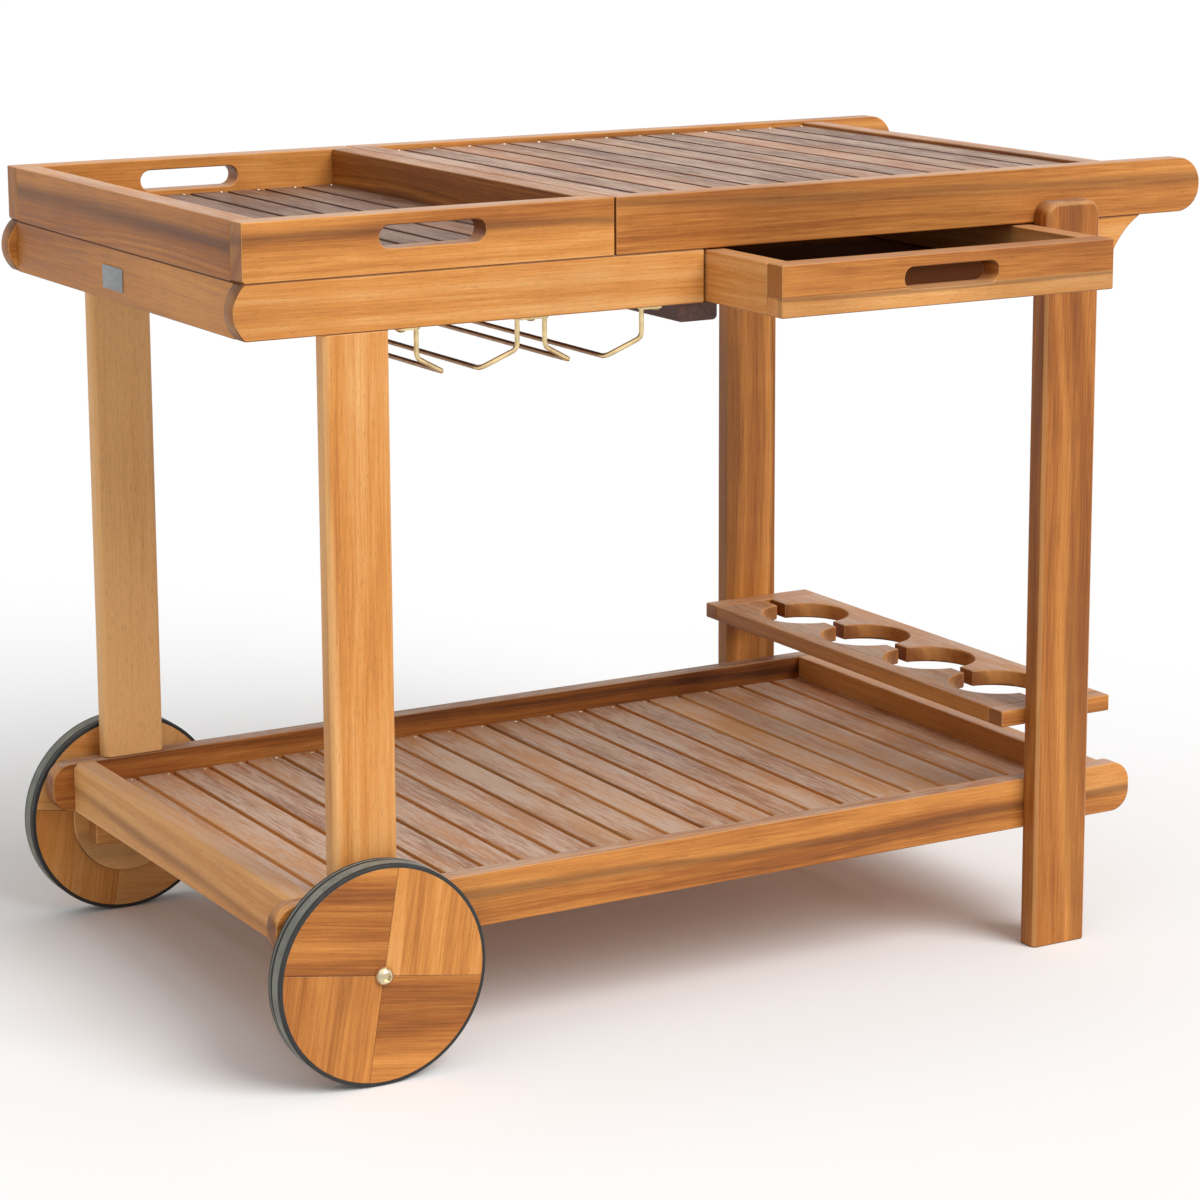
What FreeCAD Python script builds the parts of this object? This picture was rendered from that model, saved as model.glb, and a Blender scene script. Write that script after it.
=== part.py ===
import FreeCAD, Part
import math
import os

V = FreeCAD.Vector
UP = V(0, 0, 1)
ALONG = V(1, 0, 0)
ACROSS = V(0, 1, 0)

# Serving cart. X runs from the tray end to the push handles, Y from the drawer side to the back, Z up.
# Lengths are in millimetres. X is counted from the tray's outer end and Z from the floor.

# boards
HALF = 304.0             # outer face of the side rails, from the middle plane
BOARD = 22.0             # side rails and wheel-end legs
CROSS = 26.0             # cross rails and end boards
TRAY_BOARD = 27.0
TENON = 9.0
TENON_LONG = 14.0
TENON_SHOULDER = 12.0    # above and below a tenon
MORTISE_END = 1.0        # room past a tenon

# heights
TOP_HIGH = 850.0
RAIL_HIGH = 58.0         # tray and top rails
APRON_HIGH = 54.0
SHELF_TALL = 55.0        # shelf rails

# slats
SLAT = 12.0
SLAT_GAP = 5.6
TOP_PITCH = 45.1
TRAY_PITCH = 44.5
SHELF_PITCH = 44.3
TOP_RECESS = 6.0
SHELF_RECESS = 26.0
TRAY_FLOOR_UP = 18.5     # tray floor above the tray's underside
TRAY_SLAT = 10.0
BATTEN = 18.0
BATTEN_HIGH = 14.0
TRAY_BATTEN_HIGH = 8.0

# tray and top along X
TRAY_LONG = 399.0
TRAY_GAP = 2.0
TRAY_CORNER = 10.0
TOP_LONG = 599.0         # from the top's tray end to the cross rail at the handles
TOP_CROSS_DROP = 2.0
TOP_CROSS_HIGH = 48.0
HANDLE_LONG = 130.0      # from that cross rail to the handle ends
HANDLE_ROUND = 28.0

# apron
APRON_BULGE = 10.0       # rounded rail end past the tray
APRON_EASE = 2.0
CORBEL_LONG = 142.0      # from the handle-end leg, along the top
CORBEL_FOOT = 100.0      # the same along the underside
CORBEL_HOLLOW = 7.0

# grip slots in tray and drawer
GRIP_LONG = 114.0
GRIP_HIGH = 22.0
GRIP_BELOW = 23.0        # slot centre below the board's top edge

# drawer
BAY_IN = 101.0           # drawer bay from the top's tray end
BAY_LONG = 407.0
DRAWER_OUT = 139.0       # how far it stands open
DRAWER_GAP = 2.5
DRAWER_LIFT = 0.5        # running gap over the runners
DRAWER_TOP_GAP = 1.5
DRAWER_REAR = 4.0        # room behind the shut drawer
DRAWER_FRONT = 28.0
DRAWER_SIDE = 24.0
PANEL = 6.0
PANEL_UP = 6.0
GROOVE = 6.0
GROOVE_GAP = 0.4
RUNNER = 46.0
RUNNER_UNDER = 19.0      # part of its width that lies under the drawer
RUNNER_HIGH = 19.0
RUNNER_IN = 6.0
RUNNER_ROUND = 5.0

# legs
LEG_WIDE = 70.0          # handle-end legs, outside the rails
LEG_THICK = 24.0
LEG_DOWN = 35.0          # leg top below the cart's top
LEG_ROUND = 15.0
LEG_CHAMFER = 4.0
POST_IN = 82.0           # wheel-end legs, in the plane of the rails
POST_WIDE = 70.0
POST_TONGUE = 46.0

# shelf
SHELF_BEFORE = 63.0      # rail end before the wheel-end leg
SHELF_PAST = 75.0        # rail end past the handle-end leg
SHELF_ROUND = 23.0
SHELF_CROSS_IN = 24.5    # cross rail from the rail's end at the wheels
SHELF_CROSS_PAST = 21.0  # the other cross rail past the handle-end leg
SHELF_CHAMFER = 5.0

# bottle rack
RACK_BEFORE = 30.0       # rack edge before the handle-end leg
RACK_WIDE = 145.0
RACK_UP = 61.0           # above the shelf rails
RACK_THICK = 18.0
RACK_CLEAT = 25.0
RACK_GAP = 11.0
RACK_END = 20.0          # board past the pitch of the end holes
HOLES = 4
HOLE_R = 52.5

# glass rack
WIRE_R = 2.5
WIRE_SIDES = 8
WIRE_BEND = 9.0
WIRE_STEPS = 2           # flats in a bend
CHANNELS = 2
CHANNEL_GAP = 30.5       # between the risers of two neighbouring channels
GLASS_FROM_LEG = 10.0    # first tab from the wheel-end leg
GLASS_FROM_RUNNER = 16.5  # last tab from the drawer runner
RAIL_OFF = 20.0          # long wire from the channel's middle
RISER_IN = 11.0          # riser inside the rails' outer face
RAIL_IN = 23.0
KNEE_DOWN = 31.0         # below the apron
RAIL_DOWN = 49.0
TAB_THICK = 2.5
TAB_WIDE = 14.0
TAB_REACH = 23.0         # end of an outer tab past its riser
TAB_EDGE = 3.5           # tab past a riser on its other side

# wheels
WHEEL_R = 112.0
WHEEL_THICK = 26.0
TYRE = 4.0
DISC_R = 66.0
DISC_THICK = 8.0
QUARTER_GAP = 0.4
WHEEL_TURN = -9.5        # degrees, how the wheels happen to stand
BLOCK_LONG = 98.0
BLOCK_UNDER = 24.0       # block below the axle
BLOCK_HIGH = 43.0
AXLE_R = 6.0
AXLE_FIT = 0.05
BUSH_R = 8.0
WHEEL_PLAY = 0.8         # end play of a wheel, on each side
HEAD_R = 10.0
HEAD_HIGH = 6.0
HEAD_FLAT = 5.5          # flat round the socket
SOCKET_R = 4.0
SOCKET_DEEP = 3.0
NUT_ACROSS = 18.0
NUT_HIGH = 8.0
BOLT_PAST = 2.0          # bolt end past its nut

# fasteners
BORE_FIT = 0.05
BORE_END = 0.2           # room past the end of a bolt or screw
BOLT_R = 3.0
BOLT_HEAD_R = 6.0
BOLT_HEAD = 4.0
BOLT_SHORT = 8.0         # bolts and screws stop short of a leg's outer face
BOLT_SPREAD = 18.0       # between the two upper bolts of a leg
BOLT_FROM_WALL = 14.0    # first upper bolt from the drawer wall
SCREW_R = 2.0
SCREW_HEAD_R = 4.0
SCREW_HEAD = 3.0
SCREW_SIDES = 6

INSIDE = HALF - BOARD
LAP = BOARD / 2
TOP_LOW = TOP_HIGH - RAIL_HIGH
APRON_LOW = TOP_LOW - APRON_HIGH
APRON_MID = (TOP_LOW + APRON_LOW) / 2
TOP_FLOOR = TOP_HIGH - TOP_RECESS
TRAY_FLOOR = TOP_LOW + TRAY_FLOOR_UP
BLOCK_LOW = WHEEL_R - BLOCK_UNDER
SHELF_LOW = BLOCK_LOW + BLOCK_HIGH
SHELF_HIGH = SHELF_LOW + SHELF_TALL
SHELF_FLOOR = SHELF_HIGH - SHELF_RECESS
RACK_LOW = SHELF_HIGH + RACK_UP
RACK_HIGH = RACK_LOW + RACK_THICK
LEG_HIGH = TOP_HIGH - LEG_DOWN
TOP_X0 = TRAY_LONG + TRAY_GAP
TOP_CROSS_X = TOP_X0 + TOP_LONG
HANDLE_END = TOP_CROSS_X + HANDLE_LONG
BAY_X0 = TOP_X0 + BAY_IN
BAY_X1 = BAY_X0 + BAY_LONG
RUNNER_X0 = BAY_X0 - RUNNER + RUNNER_UNDER
LEG_X0 = BAY_X1
LEG_X1 = LEG_X0 + LEG_WIDE
LEG_MID = (LEG_X0 + LEG_X1) / 2
POST_X0 = POST_IN
POST_X1 = POST_X0 + POST_WIDE
GLASS_X0 = POST_X1 + GLASS_FROM_LEG
GLASS_X1 = RUNNER_X0 - GLASS_FROM_RUNNER
CHANNEL_WIDE = (GLASS_X1 - GLASS_X0 - 2 * TAB_REACH - (CHANNELS - 1) * CHANNEL_GAP) / CHANNELS
WHEEL_X = (POST_X0 + POST_X1) / 2
SHELF_X0 = POST_X0 - SHELF_BEFORE
SHELF_X1 = LEG_X1 + SHELF_PAST
SHELF_CROSS_X0 = SHELF_X0 + SHELF_CROSS_IN
SHELF_CROSS_X1 = LEG_X1 + SHELF_CROSS_PAST
RACK_X0 = LEG_X0 - RACK_BEFORE
RACK_X1 = RACK_X0 + RACK_WIDE
WHEEL_IN = HALF + WHEEL_PLAY + DISC_THICK
WHEEL_OUT = WHEEL_IN + WHEEL_THICK
HEAD_OUT = WHEEL_OUT + WHEEL_PLAY + HEAD_HIGH

# the origin is the middle of the cart's box on the floor, with the drawer standing open
MID_X = (HANDLE_END - APRON_BULGE) / 2
MID_Y = (HEAD_OUT - HALF - DRAWER_OUT) / 2

CUT = 1.0                # how far a cutting tool passes a face

TOP_RAILS = ("top_rail_front", "top_rail_back")
APRON_RAILS = ("apron_rail_front", "apron_rail_back")
CORBELS = ("apron_corbel_front", "apron_rail_back")
TRAY_SIDES = ("tray_side_front", "tray_side_back")
SHELF_RAILS = ("shelf_rail_front", "shelf_rail_back")
HANDLE_LEGS = ("leg_front_handle", "leg_back_handle")
CLEATS = ("rack_cleat_front", "rack_cleat_back")

parts = {}
cuts = {}


def box(x0, x1, y0, y1, z0, z1):
    return Part.makeBox(x1 - x0, y1 - y0, z1 - z0, V(x0, y0, z0))


def rod(x, y, z, axis, radius, length):
    return Part.makeCylinder(radius, length, V(x, y, z), axis)


def other_side(shape):
    """The same piece on the far side of the cart."""
    return shape.mirror(V(0, 0, 0), ACROSS)


def both_sides(names, shape):
    parts[names[0]] = shape
    parts[names[1]] = other_side(shape)


def bore(node, tool):
    cuts.setdefault(node, []).append(tool)


def edges_along(shape, axis, wanted):
    """Straight edges along an axis whose middle the test accepts."""
    found = []
    for edge in shape.Edges:
        if not isinstance(edge.Curve, Part.Line):
            continue
        if abs(edge.tangentAt(edge.FirstParameter).dot(axis)) > 0.999 and wanted(edge.CenterOfMass):
            found.append(edge)
    return found


def profile(edges, y0, y1):
    """Solid with an outline in the XZ plane, from y0 to y1."""
    face = Part.Face(Part.Wire(edges))
    face.translate(V(0, y0, 0))
    return face.extrude(V(0, y1 - y0, 0))


def line(a, b):
    return Part.makeLine(V(a[0], 0, a[1]), V(b[0], 0, b[1]))


def arc(a, b, c):
    return Part.Arc(V(a[0], 0, a[1]), V(b[0], 0, b[1]), V(c[0], 0, c[1])).toShape()


def grip_slot(x, z, y0, y1):
    """Long round-ended slot along X, for cutting."""
    r = GRIP_HIGH / 2
    a = x - GRIP_LONG / 2 + r
    b = x + GRIP_LONG / 2 - r
    outline = [line((a, z - r), (b, z - r)), arc((b, z - r), (b + r, z), (b, z + r)),
               line((b, z + r), (a, z + r)), arc((a, z + r), (a - r, z), (a, z - r))]
    return profile(outline, y0, y1)


def slats(x0, x1, pitch, z_top, thick, half):
    """Slats across the cart, counted from the x1 end; the last is cut to what is left."""
    out = []
    b = x1
    while b - x0 > SLAT_GAP:
        a = max(b - pitch + SLAT_GAP, x0)
        out.append(box(a, b, -half, half, z_top - thick, z_top))
        b -= pitch
    return Part.makeCompound(out)


def battens(x0, x1, half, z_top, high):
    one = box(x0, x1, half - BATTEN, half, z_top - high, z_top)
    return Part.makeCompound([one, other_side(one)])


def cross_board(x0, z0, z1, rails, thick=CROSS, half=INSIDE):
    """Board across the cart with a tenon into each of the two rails."""
    a = x0 + (thick - TENON) / 2
    low = z0 + TENON_SHOULDER
    high = z1 - TENON_SHOULDER
    reach = half + TENON_LONG
    deep = reach + MORTISE_END
    for rail in rails:
        bore(rail, box(a, a + TENON, -deep, deep, low, high))
    board = box(x0, x0 + thick, -half, half, z0, z1)
    return board.fuse(box(a, a + TENON, -reach, reach, low, high)).removeSplitter()


def prism(x, y, z, axis, radius, length):
    """Rod with flat sides, its corners at the radius."""
    side = axis.cross(UP if abs(axis.z) < 0.5 else ALONG).normalize()
    lift = axis.cross(side)
    start = V(x, y, z)
    corners = []
    for i in range(SCREW_SIDES + 1):
        t = 2 * math.pi * i / SCREW_SIDES
        corners.append(start + side * (radius * math.cos(t)) + lift * (radius * math.sin(t)))
    return Part.Face(Part.makePolygon(corners)).extrude(axis * length)


def screws(spots, y_start, length, nodes, shank_r, head_r, head):
    """Screws driven outwards from inside the cart, alike on both sides, with their bores."""
    out = []
    for x, z in spots:
        for sign, pair in zip((-1, 1), nodes):
            axis = V(0, sign, 0)
            y = sign * y_start
            shank = prism(x, y, z, axis, shank_r, length)
            out.append(shank.fuse(prism(x, y, z, axis, head_r, head)).removeSplitter())
            for node in pair:
                bore(node, prism(x, y, z, axis, head_r + BORE_FIT, head))
                bore(node, prism(x, y, z, axis, shank_r + BORE_FIT, length + BORE_END))
    return out


def fixed_top():
    rail = box(TOP_X0, HANDLE_END, -HALF, -INSIDE, TOP_LOW, TOP_HIGH)
    tip = edges_along(rail, ACROSS, lambda p: p.x > HANDLE_END - CUT)
    both_sides(TOP_RAILS, rail.makeFillet(min(HANDLE_ROUND, RAIL_HIGH / 2 - CUT), tip))
    high = TOP_HIGH - TOP_CROSS_DROP
    parts["top_cross_tray"] = cross_board(TOP_X0, TOP_LOW, TOP_HIGH, TOP_RAILS)
    parts["top_cross_handle"] = cross_board(TOP_CROSS_X, high - TOP_CROSS_HIGH, high, TOP_RAILS)
    x0 = TOP_X0 + CROSS
    parts["top_slats"] = slats(x0, TOP_CROSS_X, TOP_PITCH, TOP_FLOOR, SLAT, INSIDE)
    parts["top_battens"] = battens(x0, TOP_CROSS_X, INSIDE, TOP_FLOOR - SLAT, BATTEN_HIGH)


def apron():
    low_left = (APRON_EASE, APRON_LOW)
    high_left = (APRON_EASE, TOP_LOW)
    low_bay = (BAY_X0, APRON_LOW)
    high_bay = (BAY_X0, TOP_LOW)
    low_leg = (BAY_X1, APRON_LOW)
    high_leg = (BAY_X1, TOP_LOW)
    corbel_top = (LEG_X0 + CORBEL_LONG, TOP_LOW)
    corbel_low = (LEG_X0 + CORBEL_FOOT, APRON_LOW)
    run = corbel_top[0] - corbel_low[0]
    slope = math.hypot(run, APRON_HIGH)
    hollow = ((corbel_top[0] + corbel_low[0]) / 2 - CORBEL_HOLLOW * APRON_HIGH / slope,
              APRON_MID + CORBEL_HOLLOW * run / slope)
    bulge = arc(low_left, (-APRON_BULGE, APRON_MID), high_left)
    sweep = arc(corbel_top, hollow, corbel_low)
    short = profile([bulge, line(high_left, high_bay), line(high_bay, low_bay), line(low_bay, low_left)],
                    -HALF, -INSIDE)
    whole = profile([bulge, line(high_left, corbel_top), sweep, line(corbel_low, low_left)], INSIDE, HALF)
    housing = box(POST_X0, POST_X1, -INSIDE - LAP, -INSIDE, APRON_LOW, APRON_LOW + POST_TONGUE)
    parts["apron_rail_front"] = short.cut(housing)
    parts["apron_rail_back"] = whole.cut(other_side(housing))
    parts["apron_corbel_front"] = profile([line(low_leg, high_leg), line(high_leg, corbel_top), sweep,
                                           line(corbel_low, low_leg)], -HALF, -INSIDE)
    parts["apron_end"] = cross_board(0, APRON_LOW, TOP_LOW, APRON_RAILS)


def drawer_bay():
    parts["drawer_wall_tray"] = cross_board(BAY_X0 - CROSS, APRON_LOW, TOP_LOW, APRON_RAILS)
    parts["drawer_wall_handle"] = cross_board(BAY_X1, APRON_LOW, TOP_LOW, CORBELS)
    for node, x in (("drawer_runner_tray", RUNNER_X0),
                    ("drawer_runner_handle", BAY_X1 - RUNNER_UNDER)):
        reach = HALF - RUNNER_IN
        runner = box(x, x + RUNNER, -reach, reach, APRON_LOW - RUNNER_HIGH, APRON_LOW)
        low = edges_along(runner, ACROSS, lambda p: p.z < APRON_LOW - CUT)
        parts[node] = runner.makeFillet(RUNNER_ROUND, low)


def tray():
    half = HALF - TRAY_BOARD
    side = box(0, TRAY_LONG, -HALF, -half, TOP_LOW, TOP_HIGH)
    corner = edges_along(side, ACROSS, lambda p: p.x < CUT and p.z < TOP_LOW + CUT)
    side = side.makeFillet(TRAY_CORNER, corner)
    side = side.cut(grip_slot(TRAY_LONG / 2, TOP_HIGH - GRIP_BELOW, -HALF - CUT, -half + CUT))
    both_sides(TRAY_SIDES, side)
    x1 = TRAY_LONG - TRAY_BOARD
    parts["tray_end_outer"] = cross_board(0, TOP_LOW, TOP_HIGH, TRAY_SIDES, TRAY_BOARD, half)
    parts["tray_end_inner"] = cross_board(x1, TOP_LOW, TOP_HIGH, TRAY_SIDES, TRAY_BOARD, half)
    parts["tray_slats"] = slats(TRAY_BOARD, x1, TRAY_PITCH, TRAY_FLOOR, TRAY_SLAT, half)
    parts["tray_battens"] = battens(TRAY_BOARD, x1, half, TRAY_FLOOR - TRAY_SLAT, TRAY_BATTEN_HIGH)


def drawer():
    """Drawer, standing open."""
    x0 = BAY_X0 + DRAWER_GAP
    x1 = BAY_X1 - DRAWER_GAP
    y0 = -HALF - DRAWER_OUT
    y1 = INSIDE - DRAWER_REAR - DRAWER_OUT
    z0 = APRON_LOW + DRAWER_LIFT
    z1 = TOP_LOW - DRAWER_TOP_GAP
    in0 = x0 + DRAWER_SIDE
    in1 = x1 - DRAWER_SIDE
    front_in = y0 + DRAWER_FRONT
    back_in = y1 - DRAWER_SIDE
    low = z0 + PANEL_UP
    high = low + PANEL
    groove = box(in0 - GROOVE, in1 + GROOVE, front_in - GROOVE, back_in + GROOVE, low, high)
    front = box(x0, x1, y0, front_in, z0, z1)
    front = front.cut(grip_slot((x0 + x1) / 2, z1 - GRIP_BELOW, y0 - CUT, front_in + CUT))
    parts["drawer_front"] = front.cut(groove)
    parts["drawer_side_tray"] = box(x0, in0, front_in, y1, z0, z1).cut(groove)
    parts["drawer_side_handle"] = box(in1, x1, front_in, y1, z0, z1).cut(groove)
    parts["drawer_back"] = box(in0, in1, back_in, y1, z0, z1).cut(groove)
    g = GROOVE - GROOVE_GAP
    parts["drawer_bottom"] = box(in0 - g, in1 + g, front_in - g, back_in + g, low, high)


def handle_legs():
    r = LEG_ROUND
    k = r * (1 - math.sqrt(0.5))
    top = LEG_HIGH
    leg = profile([line((LEG_X0, 0), (LEG_X0, top - r)),
                   arc((LEG_X0, top - r), (LEG_X0 + k, top - k), (LEG_X0 + r, top)),
                   line((LEG_X0 + r, top), (LEG_X1 - r, top)),
                   arc((LEG_X1 - r, top), (LEG_X1 - k, top - k), (LEG_X1, top - r)),
                   line((LEG_X1, top - r), (LEG_X1, 0)), line((LEG_X1, 0), (LEG_X0, 0))],
                  -HALF - LEG_THICK, -HALF)
    rim = [e for e in leg.Edges if e.BoundBox.YMax < -HALF - LEG_THICK / 2 and e.BoundBox.ZMax > CUT]
    both_sides(HANDLE_LEGS, leg.makeChamfer(LEG_CHAMFER, rim))


def wheel_legs():
    """Legs in the plane of the rails, lapped half and half into the apron and the shelf rails."""
    shaft = box(POST_X0, POST_X1, -HALF, -INSIDE, SHELF_HIGH, APRON_LOW)
    shaft = shaft.makeChamfer(LEG_CHAMFER, edges_along(shaft, UP, lambda p: True))
    tongue = box(POST_X0, POST_X1, -INSIDE - LAP, -INSIDE, APRON_LOW, APRON_LOW + POST_TONGUE)
    foot = box(POST_X0, POST_X1, -HALF, -HALF + LAP, SHELF_LOW, SHELF_HIGH)
    both_sides(("leg_front_wheel", "leg_back_wheel"), shaft.fuse([tongue, foot]).removeSplitter())


def shelf():
    rail = box(SHELF_X0, SHELF_X1, -HALF, -INSIDE, SHELF_LOW, SHELF_HIGH)
    ends = edges_along(rail, ACROSS, lambda p: True)
    rail = rail.makeFillet(min(SHELF_ROUND, SHELF_TALL / 2 - CUT), ends)
    lap = box(POST_X0, POST_X1, -HALF - CUT, -HALF + LAP, SHELF_LOW - CUT, SHELF_HIGH + CUT)
    both_sides(SHELF_RAILS, rail.cut(lap))
    cross = cross_board(SHELF_CROSS_X0, SHELF_LOW, SHELF_HIGH, SHELF_RAILS)
    outer = edges_along(cross, ACROSS, lambda p: p.x < SHELF_CROSS_X0 + CUT and p.z > SHELF_HIGH - CUT)
    parts["shelf_cross_wheel"] = cross.makeChamfer(SHELF_CHAMFER, outer)
    parts["shelf_cross_handle"] = cross_board(SHELF_CROSS_X1, SHELF_LOW, SHELF_HIGH, SHELF_RAILS)
    x0 = SHELF_CROSS_X0 + CROSS
    parts["shelf_slats"] = slats(x0, SHELF_CROSS_X1, SHELF_PITCH, SHELF_FLOOR, SLAT, INSIDE)
    parts["shelf_battens"] = battens(x0, SHELF_CROSS_X1, INSIDE, SHELF_FLOOR - SLAT, BATTEN_HIGH)


def bottle_rack():
    half = HALF - RACK_CLEAT
    both_sides(CLEATS, box(RACK_X0, RACK_X1, -HALF, -half, RACK_LOW, RACK_HIGH))
    mid = (RACK_X0 + RACK_X1) / 2
    pitch = 2 * (half - RACK_END) / HOLES
    holes = []
    for i in range(HOLES):
        y = (i - (HOLES - 1) / 2) * pitch
        holes.append(rod(mid, y, RACK_LOW - CUT, UP, HOLE_R, RACK_THICK + 2 * CUT))
    near = box(RACK_X0, mid - RACK_GAP / 2, -half, half, RACK_LOW, RACK_HIGH)
    far = box(mid + RACK_GAP / 2, RACK_X1, -half, half, RACK_LOW, RACK_HIGH)
    parts["rack_board_shelf_side"] = near.cut(holes)
    parts["rack_board_handle_side"] = far.cut(holes)


def rounded(points, bend, steps):
    """Polyline with each corner replaced by points on its bend."""
    out = [points[0]]
    for before, corner, after in zip(points, points[1:], points[2:]):
        a = (before - corner).normalize()
        b = (after - corner).normalize()
        half = a.getAngle(b) / 2
        axis = a.cross(b).normalize()
        middle = corner + (a + b).normalize() * (bend / math.sin(half))
        spoke = corner + a * (bend / math.tan(half)) - middle
        turn = math.pi - 2 * half
        for i in range(steps + 1):
            out.append(middle + FreeCAD.Rotation(axis, math.degrees(-turn * i / steps)).multVec(spoke))
    return out + [points[-1]]


def wire(points):
    """Bent wire with flat sides, mitred where its path turns."""
    path = rounded(points, WIRE_BEND, WIRE_STEPS)
    first = (path[1] - path[0]).normalize()
    side = first.cross(ACROSS).normalize()
    lift = first.cross(side)
    ring = []
    for i in range(WIRE_SIDES):
        t = 2 * math.pi * (i + 0.5) / WIRE_SIDES
        ring.append(path[0] + side * (WIRE_R * math.cos(t)) + lift * (WIRE_R * math.sin(t)))
    faces = [Part.Face(Part.makePolygon(ring + ring[:1]))]
    for i in range(1, len(path)):
        along = (path[i] - path[i - 1]).normalize()
        mitre = along
        if i + 1 < len(path):
            mitre = along + (path[i + 1] - path[i]).normalize()
        after = [p + along * ((path[i] - p).dot(mitre) / along.dot(mitre)) for p in ring]
        for j in range(WIRE_SIDES):
            k = (j + 1) % WIRE_SIDES
            faces.append(Part.Face(Part.makePolygon([ring[j], ring[k], after[k], after[j], ring[j]])))
        ring = after
    faces.append(Part.Face(Part.makePolygon(ring + ring[:1])))
    solid = Part.makeSolid(Part.makeShell(faces))
    if solid.Volume < 0:
        solid.reverse()
    return solid


def glass_rack():
    """Wires that hang from tabs under the apron rails; glasses slide in between the long runs."""
    riser_y = HALF - RISER_IN
    rail_y = HALF - RAIL_IN
    tab_z = APRON_LOW - TAB_THICK
    middle = tab_z + TAB_THICK / 2
    risers = []
    wires = []
    for i in range(CHANNELS):
        channel = GLASS_X0 + TAB_REACH + CHANNEL_WIDE / 2 + i * (CHANNEL_WIDE + CHANNEL_GAP)
        for sign in (-1, 1):
            x = channel + sign * CHANNEL_WIDE / 2
            rail_x = channel + sign * RAIL_OFF
            ends = []
            for y in (-1, 1):
                ends.append([V(x, y * riser_y, middle), V(x, y * riser_y, APRON_LOW - KNEE_DOWN),
                             V(rail_x, y * rail_y, APRON_LOW - RAIL_DOWN)])
            risers.append(x)
            wires.append(wire(ends[0] + ends[1][::-1]))
    racks = []
    groups = [(0,)] + [(i, i + 1) for i in range(1, 2 * CHANNELS - 1, 2)] + [(2 * CHANNELS - 1,)]
    for group in groups:
        x0 = risers[group[0]] - (TAB_REACH if group[0] == 0 else TAB_EDGE)
        x1 = risers[group[-1]] + (TAB_REACH if group[-1] == 2 * CHANNELS - 1 else TAB_EDGE)
        tab = box(x0, x1, riser_y - TAB_WIDE / 2, riser_y + TAB_WIDE / 2, tab_z, APRON_LOW)
        members = [wires[i] for i in group] + [tab, other_side(tab)]
        racks.append(members[0].fuse(members[1:]).removeSplitter())
    parts["glass_rails"] = Part.makeCompound(racks)


def axle_blocks():
    x0 = WHEEL_X - BLOCK_LONG / 2
    block = box(x0, x0 + BLOCK_LONG, -HALF, -INSIDE, BLOCK_LOW, SHELF_LOW)
    hole = rod(WHEEL_X, -HALF - CUT, WHEEL_R, ACROSS, AXLE_R + BORE_FIT, BOARD + 2 * CUT)
    both_sides(("axle_block_front", "axle_block_back"), block.cut(hole))


def wheels():
    """Wheels of four wooden quarters with a rubber tyre, a disc on the inner face and a bush."""
    rim_r = WHEEL_R - TYRE
    gap = QUARTER_GAP / 2
    seat = rod(0, 0, -DISC_THICK - CUT, UP, BUSH_R + BORE_FIT, DISC_THICK + WHEEL_THICK + 2 * CUT)
    quarter = Part.makeCylinder(rim_r, WHEEL_THICK, V(0, 0, 0), UP, 90).cut(seat)
    quarter = quarter.common(box(gap, WHEEL_R, gap, WHEEL_R, -CUT, WHEEL_THICK + CUT))
    quarters = []
    for i in range(4):
        one = quarter.copy()
        one.rotate(V(0, 0, 0), UP, 90 * i)
        quarters.append(one)
    inside = rod(0, 0, -CUT, UP, rim_r, WHEEL_THICK + 2 * CUT)
    tyre = rod(0, 0, 0, UP, WHEEL_R, WHEEL_THICK).cut(inside)
    disc = rod(0, 0, -DISC_THICK, UP, DISC_R, DISC_THICK).cut(seat)
    long = DISC_THICK + WHEEL_THICK
    hole = rod(0, 0, -DISC_THICK - CUT, UP, AXLE_R + AXLE_FIT, long + 2 * CUT)
    bush = rod(0, 0, -DISC_THICK, UP, BUSH_R, long).cut(hole)
    for name, shape in (("quarters", Part.makeCompound(quarters)), ("tyre", tyre), ("disc", disc),
                        ("bush", bush)):
        shape.rotate(V(0, 0, 0), UP, WHEEL_TURN)
        shape.rotate(V(0, 0, 0), ALONG, 90)
        shape.translate(V(WHEEL_X, -WHEEL_IN, WHEEL_R))
        both_sides(("wheel_front_" + name, "wheel_back_" + name), shape)


def hexagon(across, y0, y1):
    corner_r = across / math.sqrt(3)
    turns = [math.radians(60 * i) for i in range(7)]
    points = [(WHEEL_X + corner_r * math.cos(t), WHEEL_R + corner_r * math.sin(t)) for t in turns]
    return profile([line(a, b) for a, b in zip(points, points[1:])], y0, y1)


def axles():
    """Bolts with domed socket heads, through wheel and block, held by nuts inside."""
    head_y = -WHEEL_OUT - WHEEL_PLAY
    inward = (HEAD_R ** 2 - HEAD_FLAT ** 2 - HEAD_HIGH ** 2) / (2 * HEAD_HIGH)
    dome = Part.makeSphere(math.hypot(HEAD_R, inward), V(WHEEL_X, head_y + inward, WHEEL_R))
    dome = dome.common(rod(WHEEL_X, head_y - HEAD_HIGH, WHEEL_R, ACROSS, 2 * HEAD_R, HEAD_HIGH))
    dome = dome.cut(hexagon(2 * SOCKET_R, head_y - HEAD_HIGH - CUT, head_y - HEAD_HIGH + SOCKET_DEEP))
    shank_long = -INSIDE + NUT_HIGH + BOLT_PAST - head_y
    bolt = dome.fuse(rod(WHEEL_X, head_y, WHEEL_R, ACROSS, AXLE_R, shank_long)).removeSplitter()
    nut = hexagon(NUT_ACROSS, -INSIDE, -INSIDE + NUT_HIGH)
    nut = nut.cut(rod(WHEEL_X, -INSIDE - CUT, WHEEL_R, ACROSS, AXLE_R + BORE_FIT, NUT_HIGH + 2 * CUT))
    parts["axle_bolts"] = Part.makeCompound([bolt, other_side(bolt)])
    parts["axle_nuts"] = Part.makeCompound([nut, other_side(nut)])


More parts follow.
